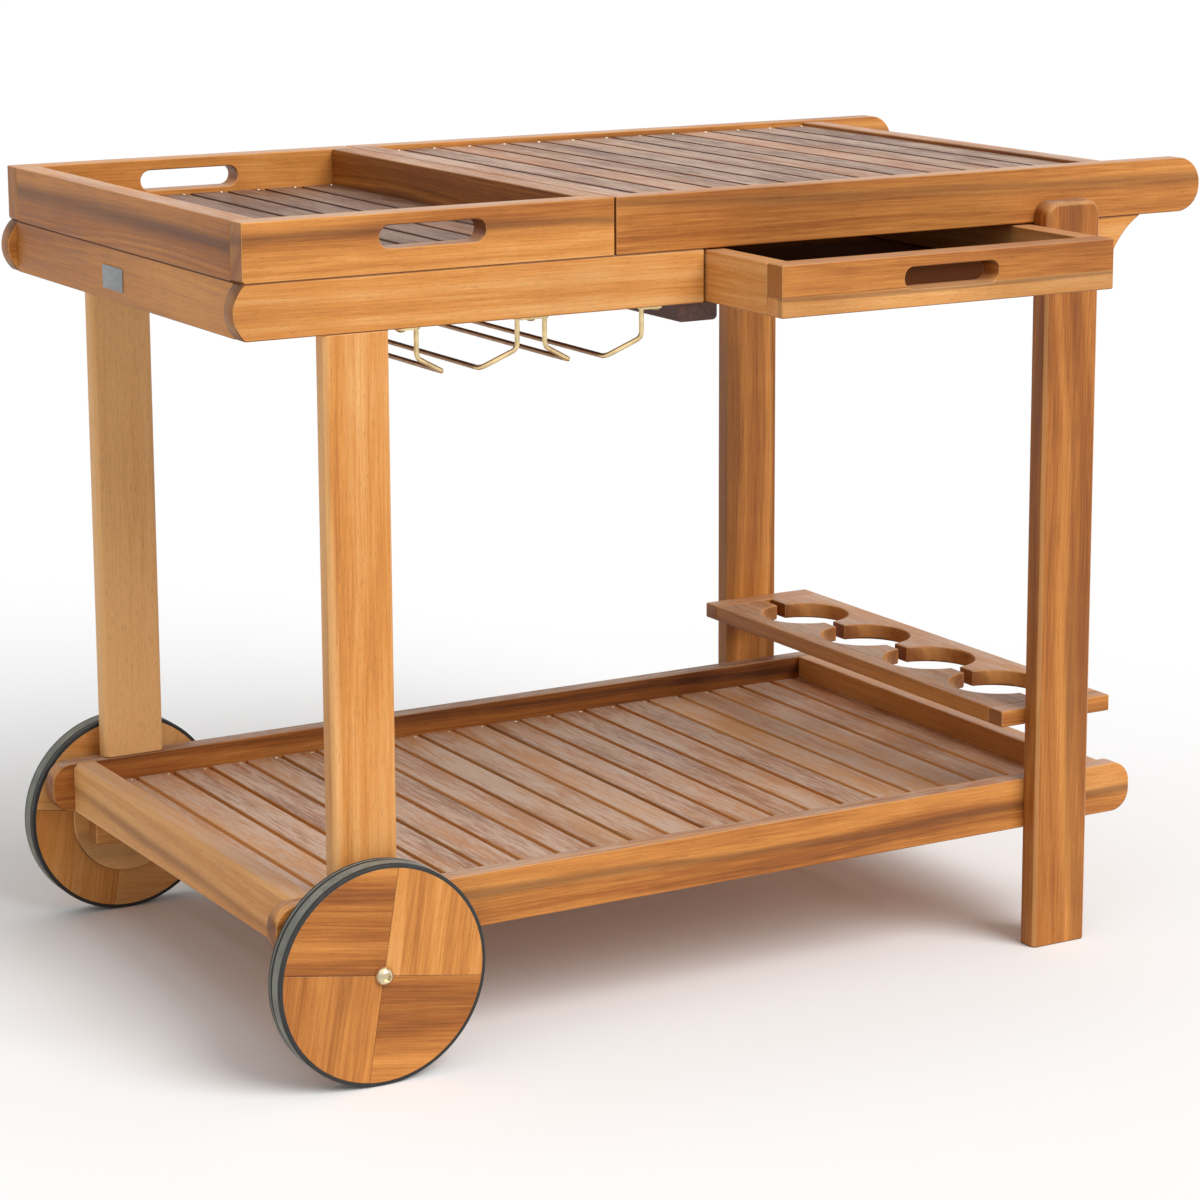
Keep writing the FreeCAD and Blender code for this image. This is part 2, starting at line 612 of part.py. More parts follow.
def fasteners():
    """Bolts that hold the outside legs, and screws through the bottle rack's cleats."""
    size = (BOLT_R, BOLT_HEAD_R, BOLT_HEAD)
    long = BOARD + LEG_THICK - BOLT_SHORT
    first = BAY_X1 + CROSS + BOLT_FROM_WALL
    upper = [(first, APRON_MID), (first + BOLT_SPREAD, APRON_MID)]
    lower = [(LEG_MID, SHELF_FLOOR - SLAT - BATTEN_HIGH / 2)]
    bolts = screws(upper, INSIDE, long, list(zip(CORBELS, HANDLE_LEGS)), *size)
    bolts += screws(lower, INSIDE, long, list(zip(SHELF_RAILS, HANDLE_LEGS)), *size)
    parts["leg_bolts"] = Part.makeCompound(bolts)
    size = (SCREW_R, SCREW_HEAD_R, SCREW_HEAD)
    long = RACK_CLEAT + LEG_THICK - BOLT_SHORT
    spot = [(LEG_MID, (RACK_LOW + RACK_HIGH) / 2)]
    cleat_screws = screws(spot, HALF - RACK_CLEAT, long, list(zip(CLEATS, HANDLE_LEGS)), *size)
    parts["cleat_screws"] = Part.makeCompound(cleat_screws)


for build in (fixed_top, apron, drawer_bay, tray, drawer, handle_legs, wheel_legs, shelf, bottle_rack,
              glass_rack, axle_blocks, wheels, axles, fasteners):
    build()

os.makedirs("parts", exist_ok=True)
for node, shape in parts.items():
    if node in cuts:
        shape = shape.cut(cuts[node])
    shape.translate(V(-MID_X, -MID_Y, 0))
    shape.exportStep("parts/%s.step" % node)
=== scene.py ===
import math

import bmesh
import bpy
from bpy.props import FloatProperty, FloatVectorProperty, IntProperty, PointerProperty
from mathutils import Matrix, Vector


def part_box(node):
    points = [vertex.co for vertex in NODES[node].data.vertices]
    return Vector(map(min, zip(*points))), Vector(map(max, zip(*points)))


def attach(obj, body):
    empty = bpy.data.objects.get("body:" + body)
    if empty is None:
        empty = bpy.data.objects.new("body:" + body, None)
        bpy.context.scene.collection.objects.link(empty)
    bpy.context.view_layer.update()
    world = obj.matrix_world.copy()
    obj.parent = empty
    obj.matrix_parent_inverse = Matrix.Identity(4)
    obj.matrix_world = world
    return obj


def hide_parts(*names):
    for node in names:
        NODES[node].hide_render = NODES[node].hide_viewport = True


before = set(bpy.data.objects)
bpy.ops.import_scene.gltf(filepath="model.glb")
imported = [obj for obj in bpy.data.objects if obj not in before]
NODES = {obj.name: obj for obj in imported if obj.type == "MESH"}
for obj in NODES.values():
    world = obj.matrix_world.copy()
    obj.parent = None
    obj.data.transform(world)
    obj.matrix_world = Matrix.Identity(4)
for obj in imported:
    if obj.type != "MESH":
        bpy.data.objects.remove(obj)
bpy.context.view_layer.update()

bl_info = {
    "name": "Serving cart",
    "version": (1, 0, 0),
    "blender": (4, 5, 0),
    "location": "View3D > Sidebar > Cart",
    "description": "Finishes a wooden serving cart and sets it on a plain stage",
    "category": "Object",
}

MM = 0.001
# corners, edges and faces are picked when they lie this near to a place
NEAR = 0.1 * MM
# corners of loose triangles that lie this near are one corner
SAME = 0.01 * MM


def srgb(red, green, blue):
    """Scene-linear colour from screen values of 0 to 255."""
    out = []
    for value in (red, green, blue):
        c = value / 255
        out.append(c / 12.92 if c <= 0.04045 else ((c + 0.055) / 1.055) ** 2.4)
    return tuple(out)


def times(colour, share):
    """A colour made darker or lighter."""
    return tuple(c * share for c in colour)


def size_prop(name, description, default):
    return FloatProperty(name=name, description=description, default=default, min=0, unit="LENGTH",
                         precision=4)


def colour_prop(name, description, default):
    return FloatVectorProperty(name=name, description=description, default=default, size=3, min=0, max=1,
                               subtype="COLOR")


def turn_prop(name, description, degrees):
    return FloatProperty(name=name, description=description, default=math.radians(degrees),
                         subtype="ANGLE")


class CartFinish(bpy.types.PropertyGroup):
    """Colours and small sizes of the cart's finish."""
    pale: colour_prop("Pale wood", "Lightest bands of the grain", srgb(232, 180, 118))
    honey: colour_prop("Honey wood", "Main colour of the boards", srgb(204, 135, 64))
    brown: colour_prop("Brown wood", "Darker bands of the grain", srgb(156, 91, 36))
    heart: colour_prop("Heartwood", "Dark streaks and pores", srgb(84, 46, 24))
    end_grain: colour_prop("End grain", "Sawn ends of the boards", srgb(112, 66, 38))
    # upper faces: bleached and wiped wood mixed with a painted sheen of the light from above
    sheen_and_bleach_colour: colour_prop("Bleached wood", "Upper faces, dulled by light and wiping", srgb(203, 171, 147))
    runner: colour_prop("Runner wood", "Dark stained drawer runners", srgb(62, 36, 28))
    brass: colour_prop("Brass", "Glass rack", srgb(238, 214, 162))
    # painted reflection of the reddish wood above, on the long wires of the glass rack; the brass there is
    # not dulled
    painted_wood_reflection: colour_prop("Tarnished brass", "Long wires of the glass rack", srgb(140, 92, 66))
    screw: colour_prop("Screw brass", "Screws of the glass rack", srgb(176, 156, 98))
    bolt: colour_prop("Bolt brass", "Bolts that the wheels turn on", srgb(222, 206, 172))
    pin_head: colour_prop("Pin steel", "Pin heads in the slats", srgb(226, 214, 190))
    steel: colour_prop("Steel", "Nuts, leg bolts, bushes and the plate", srgb(150, 152, 152))
    rubber: colour_prop("Rubber", "Tyres", srgb(34, 34, 32))
    dust: colour_prop("Dust", "Tread of the tyres", srgb(138, 138, 126))
    ease: size_prop("Eased edges", "Rounding on the edges of the boards", 1.6 * MM)
    slat_ease: size_prop("Eased slats", "Rounding on the edges of the slats", 1.2 * MM)
    plate_long: size_prop("Plate length", "Bare plate on the apron's end", 52 * MM)
    plate_high: size_prop("Plate height", "Bare plate on the apron's end", 24 * MM)
    plate_thick: size_prop("Plate thickness", "Bare plate on the apron's end", 1.2 * MM)
    wire: size_prop("Wire radius", "Wire of the glass rack", 2.5 * MM)
    bend: size_prop("Wire bend", "Bend radius of the glass rack's wire", 9 * MM)
    pin: size_prop("Pin radius", "Pin heads at the ends of the slats", 1.9 * MM)
    groove: size_prop("Tyre groove", "Depth of the groove in the tread", 1.4 * MM)


class CartStage(bpy.types.PropertyGroup):
    """Camera, floor and light."""
    turn: turn_prop("Turn", "Camera round the cart, from the drawer side", -29.87)
    rise: turn_prop("Rise", "Camera above the level", 11.06)
    roll: turn_prop("Roll", "Camera about its own axis", -0.26)
    far: size_prop("Distance", "Camera from the point it aims at", 3.831)
    lens: FloatProperty(name="Lens", description="Focal length", default=105.1, unit="CAMERA")
    drop: FloatProperty(name="Shift", description="Lens shift that keeps the legs nearly upright",
                        default=-0.1)
    aim: FloatVectorProperty(name="Aim", description="Point that the camera looks at", size=3,
                             default=(-0.0029, 0.0514, 0.5007), subtype="TRANSLATION", unit="LENGTH")
    sky: FloatProperty(name="Sky", description="Strength of the light from all around", default=0.4)
    key: FloatProperty(name="Key light", description="Strength of the soft lamp in front", default=2.35)
    fill: FloatProperty(name="Fill light", description="Strength of the soft lamp above", default=0.6)
    floor: colour_prop("Floor", "Plain pale floor", (0.95, 0.95, 0.95))


class Sketch:
    """Nodes of one material, added and wired one at a time."""

    def __init__(self, name):
        self.material = bpy.data.materials.new(name)
        self.material.use_nodes = True
        self.tree = self.material.node_tree
        self.surface = self.tree.nodes["Principled BSDF"]

    def add(self, kind, inputs, **settings):
        node = self.tree.nodes.new(kind)
        for key, value in settings.items():
            setattr(node, key, value)
        for socket, value in inputs.items():
            self.feed(node.inputs[socket], value)
        return node

    def feed(self, socket, value):
        if isinstance(value, bpy.types.NodeSocket):
            self.tree.links.new(value, socket)
        else:
            socket.default_value = value

    def paint(self, **sockets):
        for name, value in sockets.items():
            self.feed(self.surface.inputs[name.replace("_", " ")], value)

    def object_space(self):
        return self.add("ShaderNodeTexCoord", {}).outputs

    def sum(self, operation, a, b=0.0, c=0.0):
        return self.add("ShaderNodeMath", {0: a, 1: b, 2: c}, operation=operation).outputs[0]

    def vector(self, operation, a, b=(0, 0, 0), c=(0, 0, 0)):
        return self.add("ShaderNodeVectorMath", {0: a, 1: b, 2: c}, operation=operation).outputs[0]

    def measure(self, operation, a, b=(0, 0, 0)):
        return self.add("ShaderNodeVectorMath", {0: a, 1: b}, operation=operation).outputs["Value"]

    def set_at(self, place, turn):
        """The object's own space, moved and turned so that place is its origin."""
        return self.add("ShaderNodeMapping", {"Vector": self.object_space()["Object"], "Location": place,
                                              "Rotation": turn}, vector_type="TEXTURE").outputs[0]

    def split(self, vector):
        return self.add("ShaderNodeSeparateXYZ", {0: vector}).outputs

    def join(self, x, y, z):
        return self.add("ShaderNodeCombineXYZ", {0: x, 1: y, 2: z}).outputs[0]

    def noise(self, vector, scale, detail=2.0, roughness=0.55):
        return self.add("ShaderNodeTexNoise", {"Vector": vector, "Scale": scale, "Detail": detail,
                                               "Roughness": roughness}).outputs

    def rings(self, radius, scale, detail):
        return self.add("ShaderNodeTexNoise", {"W": radius, "Scale": scale, "Detail": detail,
                                               "Roughness": 0.6}, noise_dimensions="1D").outputs["Fac"]

    def span(self, value, low, high, to_low=0.0, to_high=1.0):
        return self.add("ShaderNodeMapRange", {0: value, 1: low, 2: high, 3: to_low, 4: to_high},
                        interpolation_type="SMOOTHSTEP").outputs[0]

    def blend(self, factor, a, b):
        node = self.add("ShaderNodeMix", {0: factor}, data_type="RGBA")
        self.feed(node.inputs[6], a if isinstance(a, bpy.types.NodeSocket) else (*a, 1))
        self.feed(node.inputs[7], b if isinstance(b, bpy.types.NodeSocket) else (*b, 1))
        return node.outputs[2]

    def ramp(self, value, stops):
        node = self.add("ShaderNodeValToRGB", {0: value})
        band = node.color_ramp
        while len(band.elements) < len(stops):
            band.elements.new(1.0)
        for element, (place, colour) in zip(band.elements, stops):
            element.position = place
            element.color = (*colour, 1)
        return node.outputs[0]

    def bump(self, height, strength, distance):
        node = self.add("ShaderNodeBump", {"Strength": strength, "Distance": distance, "Height": height})
        self.paint(Normal=node.outputs[0])


# turns the first axis of a board's own space along the cart, across it or upright, a little off true
GRAIN_TURN = {
    "X": (0.0, 0.012, 0.009),
    "Y": (0.01, 0.0, math.pi / 2 + 0.01),
    "Z": (0.0, 0.008 - math.pi / 2, 0.006),
}
GRAIN_AXIS = {"X": (1, 0, 0), "Y": (0, 1, 0), "Z": (0, 0, 1)}
# for wood whose sawn ends don't show
NO_AXIS = (0, 0, 0)
# nearly all of a noise lies within this spread round a half
SPREAD = (0.3, 0.7)
HALF = (0.5, 0.5, 0.5)
# a face that looks along an axis by the second share is square to it, by less than the first it isn't
SQUARE_ON = (0.8, 0.95)
# what the tone of wood is made of: rings, in plain and in streaky wood, broad patches, fibres and flecks
RINGS_PLAIN, RINGS_STREAKY, PATCHES, FIBRES, FLECKS = 0.3, 1.0, 0.5, 0.32, 0.06
# how far a band sways along the board, and how far its edges fray
SWAY, FRAY = 15 * MM, 4 * MM
# how dark pores are, how dark the painted shade along seams is, how dark sawn ends are, and how pale edges
# are
PORES, SEAM_SHADE, SAWN, EDGE_PALENESS = 0.28, 0.8, 0.5, 0.3
# oiled wood: range of its roughness, its shine and the depth of its grain
OILED, SHINE, GRAIN_DEPTH = (0.4, 0.55), 0.27, 0.3 * MM
# the pith lies this far from the middle of its board, and up to so much farther
PITH_NEAR, PITH_SPREAD = 50 * MM, 90 * MM
# these spread seeds evenly, over 0 to 1 and round a circle
GOLDEN_SHARE, GOLDEN_ANGLE = 0.618, 2.4
# how far the grain moves from one board to the next, and from a board to the strip below it
BOARD_STEP, STRIP_STEP = (1.37, 0.61, 0.83), (2.3, 3.1, 1.7)
# how much paler a strip is, and how dark the sawn ends are above it and within it
STRIP_PALER, SAWN_ABOVE, SAWN_WITHIN = 0.17, 0.4, 0.05
# slats: how far their piths lie apart, how much their tones differ and how far the grain moves
SLAT_PITH, SLAT_TONES, SLAT_STEP = 0.25, 0.1, (5, 5, 5)


def wood(sketch, coords, chance, axis, tone, streak, band=None, slat=0.0, top_bleach_and_sheen=0.4, covered=False,
         sawn=SAWN, shine=SHINE):
    """Acacia: growth rings round a pith along the first axis of coords, dark heart bands, fibres and
    pores. Noises are read at coords moved by chance, so that no two boards are alike. A band is the place
    across the board, half the width and the strength of one more streak, dark or, below nought, pale; slat
    is 1 for slats, else 0; the share after slat tells how far upper faces are paled, partly by bleaching and
    wiping and partly by a painted sheen of the light from above; edges that face down, and the upper edges
    of a covered board, which lie in a joint, get painted shade; sawn tells how dark the ends are, and shine
    how glossy the wood is."""
    look = bpy.context.scene.cart_finish
    lookup = sketch.vector("ADD", coords, chance)

    def drawn(along, scale, detail=2.0, roughness=0.55):
        """Noise drawn out along the grain."""
        return sketch.noise(sketch.vector("MULTIPLY", lookup, (along, 1, 1)), scale, detail, roughness)

    # growth rings that wander and fray
    drift = sketch.vector("SUBTRACT", drawn(0.4, 2.6)["Color"], HALF)
    bent = sketch.vector("MULTIPLY_ADD", drift, (0.0, 0.07, 0.07), coords)
    ring = sketch.measure("LENGTH", sketch.vector("MULTIPLY", bent, (0, 1, 1)))
    ragged = drawn(0.06, 60)["Fac"]
    ring = sketch.sum("MULTIPLY_ADD", ragged, 6 * MM, ring)
    ring = sketch.sum("ADD", ring, sketch.split(sketch.vector("ADD", chance))[0])
    # tone, which stays the same on average whatever it is made of
    fibres = drawn(0.024, 480, 2.0, 0.65)["Fac"]
    rings = RINGS_PLAIN + (RINGS_STREAKY - RINGS_PLAIN) * streak
    value = sketch.sum("ADD", tone, 0.5 - (rings + PATCHES + FIBRES + FLECKS) / 2)
    for part, share in ((sketch.rings(ring, 42, 4.0), rings), (drawn(0.22, 7, 1.0)["Fac"], PATCHES),
                        (fibres, FIBRES), (drawn(2.5, 11, 1.0)["Fac"], FLECKS)):
        value = sketch.sum("MULTIPLY_ADD", part, share, value)
    colour = sketch.ramp(value, [(0.12, look.heart), (0.32, look.brown), (0.52, look.honey),
                                 (0.8, look.pale)])
    # heart streaks, broken along the grain, and the band
    heart = sketch.span(sketch.rings(ring, 19, 2.0), 0.52, 0.64, 0.0, streak)
    heart = sketch.sum("MULTIPLY", heart, sketch.span(drawn(0.5, 5)["Fac"], 0.35, 0.55, 0.2, 1.0))
    colour = sketch.blend(heart, colour, look.heart)
    if band:
        place, half, strength = band
        aside = sketch.sum("MULTIPLY_ADD", drawn(0.25, 7)["Fac"], 2 * SWAY, sketch.split(coords)[2])
        aside = sketch.sum("ABSOLUTE", sketch.sum("SUBTRACT", aside, place + SWAY))
        aside = sketch.sum("MULTIPLY_ADD", ragged, 2 * FRAY, aside)
        streaked = sketch.span(aside, half + FRAY, FRAY, 0.0, abs(strength))
        colour = sketch.blend(streaked, colour, look.heart if strength > 0 else look.pale)
    pores = drawn(0.09, 1300, 1.0)["Fac"]
    colour = sketch.blend(sketch.span(pores, 0.54, 0.78, 0.0, PORES), colour, look.heart)
    # sawn ends
    facing = sketch.object_space()["Normal"]
    end = sketch.sum("ABSOLUTE", sketch.measure("DOT_PRODUCT", facing, axis))
    colour = sketch.blend(sketch.span(end, *SQUARE_ON, 0.0, sawn), colour, look.end_grain)
    # edges: paler, or darkened with painted shade where they face down and, on a covered board, where they
    # face up into a joint
    sides = sketch.split(sketch.vector("ABSOLUTE", facing))
    square = sketch.sum("MAXIMUM", sketch.sum("MAXIMUM", sides[0], sides[1]), sides[2])
    edge = sketch.span(square, 0.97, 0.8, 0.0, 1.0 - slat)
    rise = sketch.split(facing)[2]
    painted_seam_shade = sketch.span(rise, -0.15, -0.3)
    if covered:
        painted_seam_shade = sketch.sum("MAXIMUM", painted_seam_shade, sketch.span(rise, 0.15, 0.3))
    edge = sketch.sum("MULTIPLY", edge, sketch.span(painted_seam_shade, 0.0, 1.0, EDGE_PALENESS, SEAM_SHADE))
    colour = sketch.blend(edge, colour, sketch.blend(painted_seam_shade, look.pale, look.heart))
    # upper faces, paled in streaks and patches: partly bleaching and wiping, partly a painted sheen of the
    # light from above
    paled_by_sheen_and_bleach = sketch.sum("MULTIPLY_ADD", drawn(0.06, 330, 3.0, 0.8)["Fac"], 1.6, drawn(0.2, 24, 3.0)["Fac"])
    paled_by_sheen_and_bleach = sketch.span(paled_by_sheen_and_bleach, 1.05, 1.55, 0.25 * top_bleach_and_sheen, 1.7 * top_bleach_and_sheen)
    paled_by_sheen_and_bleach = sketch.sum("MULTIPLY", paled_by_sheen_and_bleach, sketch.span(rise, *SQUARE_ON))
    colour = sketch.blend(paled_by_sheen_and_bleach, colour, look.sheen_and_bleach_colour)
    sketch.paint(Base_Color=colour, Roughness=sketch.span(fibres, *SPREAD, *OILED),
                 Specular_IOR_Level=shine)
    sketch.bump(sketch.sum("MULTIPLY_ADD", pores, -0.7, fibres), 0.3, GRAIN_DEPTH)
    return sketch.material


def board_wood(name, seed, grain, tone, streak, band=None, strip=0.0, top_bleach_and_sheen=0.46, shine=SHINE):
    """Wood of one board; a strip along its lower edge, when given as a share of the height, is paler."""
    sketch = Sketch("wood_" + name)
    low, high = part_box(name)
    coords = sketch.set_at((low + high) / 2, GRAIN_TURN[grain])
    far = PITH_NEAR + PITH_SPREAD * ((seed * GOLDEN_SHARE) % 1)
    pith = (0, far * math.cos(GOLDEN_ANGLE * seed), far * math.sin(GOLDEN_ANGLE * seed))
    coords = sketch.vector("ADD", coords, pith)
    chance = tuple(seed * step for step in BOARD_STEP)
    if band:
        band = (band[0] + pith[2], *band[1:])
    sawn = SAWN
    if strip:
        height = sketch.split(sketch.object_space()["Object"])[2]
        below = sketch.sum("LESS_THAN", height, low.z + strip * (high.z - low.z))
        tone = sketch.sum("MULTIPLY_ADD", below, STRIP_PALER, tone)
        sawn = sketch.sum("MULTIPLY_ADD", below, SAWN_WITHIN - SAWN_ABOVE, SAWN_ABOVE)
        chance = sketch.vector("MULTIPLY_ADD", sketch.join(below, below, below), STRIP_STEP, chance)
    return wood(sketch, coords, chance, GRAIN_AXIS[grain], tone, streak, band, top_bleach_and_sheen=top_bleach_and_sheen,
                covered=name.startswith("apron"), sawn=sawn, shine=shine)


def slat_wood(name, seed, pitch, tone, top_bleach_and_sheen, painted_side_light):
    """Slats across the cart: each has its own stretch of grain and its own tone, and sides made paler by so
    much as painted light, for the light that bounces between the slats."""
    sketch = Sketch("wood_" + name)
    low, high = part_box(name)
    x, y, z = sketch.split(sketch.object_space()["Object"])
    along = sketch.sum("DIVIDE", sketch.sum("SUBTRACT", high.x, x), pitch)
    count = sketch.sum("FLOOR", along)
    own = sketch.sum("MULTIPLY", sketch.sum("SUBTRACT", sketch.sum("SUBTRACT", along, count), 0.5), pitch)
    chance = sketch.add("ShaderNodeTexWhiteNoise", {"W": sketch.sum("ADD", count, seed)},
                        noise_dimensions="1D").outputs
    coords = sketch.vector("ADD", sketch.join(y, own, z), (0, 0, -(low.z + high.z) / 2))
    pith = sketch.vector("SUBTRACT", chance["Color"], HALF)
    coords = sketch.vector("MULTIPLY_ADD", pith, (0, SLAT_PITH, SLAT_PITH), coords)
    tone = sketch.span(chance["Value"], 0.0, 1.0, tone - SLAT_TONES, tone + SLAT_TONES)
    # painted light: the sides of the slats, facing along the cart, are paler by the given share, for light
    # bounced between the slats
    beside = sketch.split(sketch.vector("ABSOLUTE", sketch.object_space()["Normal"]))[0]
    tone = sketch.sum("ADD", tone, sketch.span(beside, 0.5, 0.9, 0.0, painted_side_light))
    moved = sketch.vector("MULTIPLY", chance["Color"], SLAT_STEP)
    return wood(sketch, coords, moved, GRAIN_AXIS["Y"], tone, streak=0.25, slat=1.0, top_bleach_and_sheen=top_bleach_and_sheen)


def quarter_wood(name, hub, turned, seed, tone):
    """Four quarters of a wheel, with the grain of each square to its neighbours'."""
    sketch = Sketch(name)
    x, y, z = sketch.split(sketch.set_at(hub, (0, turned, 0)))
    right = sketch.sum("GREATER_THAN", x)
    upper = sketch.sum("GREATER_THAN", z)
    upright = sketch.sum("COMPARE", right, upper, 0.5)
    coords = sketch.add("ShaderNodeMix", {0: upright, 4: sketch.join(x, y, z), 5: sketch.join(z, y, x)},
                        data_type="VECTOR").outputs[1]
    number = sketch.sum("MULTIPLY_ADD", upper, 2.0, right)
    pith = sketch.join(0.0, 70 * MM, sketch.sum("MULTIPLY", number, 40 * MM))
    coords = sketch.vector("ADD", coords, pith)
    chance = sketch.join(sketch.sum("MULTIPLY_ADD", number, 1.9, seed), seed, number)
    tone = sketch.sum("MULTIPLY_ADD", right, 0.08, sketch.sum("MULTIPLY_ADD", upper, 0.09, tone))
    return wood(sketch, coords, chance, NO_AXIS, tone, streak=0.16)


def metal(name, colour, roughness, painted_wood_reflection=None):
    """Hazy metal; the last argument, when given, is the middle, across the cart, and the half width of a
    stretch with a painted reflection of the reddish wood above it, and the colour of that reflection."""
    sketch = Sketch(name)
    place = sketch.object_space()["Object"]
    haze = sketch.noise(place, 90, 3.0)["Fac"]
    scratch = sketch.noise(place, 1400, 2.0)["Fac"]
    shade = sketch.blend(sketch.span(haze, 0.35, 0.7), colour, times(colour, 0.72))
    # painted reflection of the wood above, on the long wires between the risers
    if painted_wood_reflection:
        middle, half, red = painted_wood_reflection
        inside = sketch.sum("ABSOLUTE", sketch.sum("SUBTRACT", sketch.split(place)[1], middle))
        shade = sketch.blend(sketch.span(inside, half, half - 14 * MM, 0.0, 0.8), shade, red)
    sketch.paint(Base_Color=shade, Metallic=1.0,
                 Roughness=sketch.span(haze, *SPREAD, roughness - 0.06, roughness + 0.1))
    sketch.bump(scratch, 0.03, 0.1 * MM)
    return sketch.material


def brushed_metal(name, colour):
    """Metal with fine lines across the cart."""
    sketch = Sketch(name)
    drawn = sketch.vector("MULTIPLY", sketch.object_space()["Object"], (1, 0.02, 1))
    lines = sketch.noise(drawn, 2600, 2.0)["Fac"]
    sketch.paint(Base_Color=sketch.blend(lines, colour, times(colour, 0.6)), Metallic=1.0,
                 Roughness=sketch.span(lines, *SPREAD, 0.3, 0.5))
    sketch.bump(lines, 0.1, 0.1 * MM)
    return sketch.material


def tyre_rubber(name, look, hub, radius, half):
    """Dark sidewalls, shoulders and grooves, and a dusty tread."""
    sketch = Sketch(name)
    place = sketch.object_space()["Object"]
    dust = sketch.noise(place, 45, 4.0, 0.65)["Fac"]
    grit = sketch.noise(place, 900, 2.0)["Fac"]
    arm = sketch.vector("MULTIPLY", sketch.vector("SUBTRACT", place, hub), (1, 0, 1))
    tread = sketch.span(sketch.measure("LENGTH", arm), radius - 0.9 * MM, radius - 0.3 * MM)
    aside = sketch.sum("ABSOLUTE", sketch.sum("SUBTRACT", sketch.split(place)[1], hub.y))
    tread = sketch.sum("MULTIPLY", tread, sketch.span(aside, half - 3.2 * MM, half - 4.2 * MM))
    tread = sketch.sum("MULTIPLY", tread, sketch.span(dust, 0.25, 0.75, 0.4, 1.0))
    sketch.paint(Base_Color=sketch.blend(tread, look.rubber, look.dust),
                 Roughness=sketch.span(dust, *SPREAD, 0.55, 0.8))
    sketch.bump(grit, 0.2, 0.15 * MM)
    return sketch.material


def dress(name, material):
    """Gives a CAD node its finish."""
    for slot in NODES[name].material_slots:
        slot.material = material


def ease_edges(piece, width):
    """Rounds the sharp edges of a piece with live modifiers."""
    weld = piece.modifiers.new("Weld", "WELD")
    weld.merge_threshold = SAME
    flat = piece.modifiers.new("Flat faces", "DECIMATE")
    flat.decimate_type = "DISSOLVE"
    flat.angle_limit = math.radians(0.5)
    edge = piece.modifiers.new("Eased edges", "BEVEL")
    edge.width = width
    edge.segments = 2
    edge.limit_method = "ANGLE"
    edge.angle_limit = math.radians(32)
    edge.harden_normals = True
    edge.use_clamp_overlap = False
    edge.loop_slide = False
    corners = piece.modifiers.new("Clean corners", "WELD")
    corners.merge_threshold = 0.002 * MM


def begin():
    """Object mode with nothing selected."""
    if bpy.context.object and bpy.context.object.mode != "OBJECT":
        bpy.ops.object.mode_set(mode="OBJECT")
    bpy.ops.object.select_all(action="DESELECT")


def pick(kind, wanted):
    """Selects, of the mesh being edited, the verts, edges or faces whose middle the test accepts."""
    mesh = bpy.context.object.data
    bpy.ops.mesh.select_all(action="DESELECT")
    bpy.ops.mesh.select_mode(type={"verts": "VERT", "edges": "EDGE", "faces": "FACE"}[kind])
    shape = bmesh.from_edit_mesh(mesh)
    for element in getattr(shape, kind):
        if kind == "verts":
            middle = element.co
        elif kind == "edges":
            middle = (element.verts[0].co + element.verts[1].co) / 2
        else:
            middle = element.calc_center_median()
        element.select_set(wanted(middle, element))
    shape.select_flush_mode()
    bmesh.update_edit_mesh(mesh)


def edit():
    """Opens a new piece for editing, with its place and size put into its mesh."""
    bpy.ops.object.transform_apply(location=True, rotation=True, scale=True)
    bpy.ops.object.mode_set(mode="EDIT")


def close(name, smooth=35.0):
    """Ends the editing of a piece: closed, facing out, smooth where it is round."""
    bpy.ops.mesh.select_all(action="SELECT")
    bpy.ops.mesh.remove_doubles(threshold=0.005 * MM)
    bpy.ops.mesh.normals_make_consistent(inside=False)
    bpy.ops.object.mode_set(mode="OBJECT")
    bpy.ops.object.shade_smooth_by_angle(angle=math.radians(smooth))
    piece = bpy.context.object
    piece.name = name
    piece.data.name = name
    return piece


def join(name, pieces):
    """Makes one object of several."""
    begin()
    for piece in pieces:
        piece.select_set(True)
    bpy.context.view_layer.objects.active = pieces[0]
    bpy.ops.object.join()
    pieces[0].name = name
    pieces[0].data.name = name
    return pieces[0]


def repeat(piece, places):
    """Copies a piece, modelled at the origin, to each place, as one object."""
    copies = []
    for place in places:
        begin()
        piece.select_set(True)
        bpy.context.view_layer.objects.active = piece
        bpy.ops.object.duplicate()
        copy = bpy.context.object
        copy.data.transform(Matrix.Translation(place))
        copies.append(copy)
    name = piece.name
    bpy.data.objects.remove(piece)
    return join(name, copies)


def hand_over(piece, material, body, slot, *nodes):
    """Gives a new piece its finish, its body and the CAD nodes that it stands for."""
    piece.data.materials.clear()
    piece.data.materials.append(material)
    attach(piece, body)
    if nodes:
        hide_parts(*nodes)
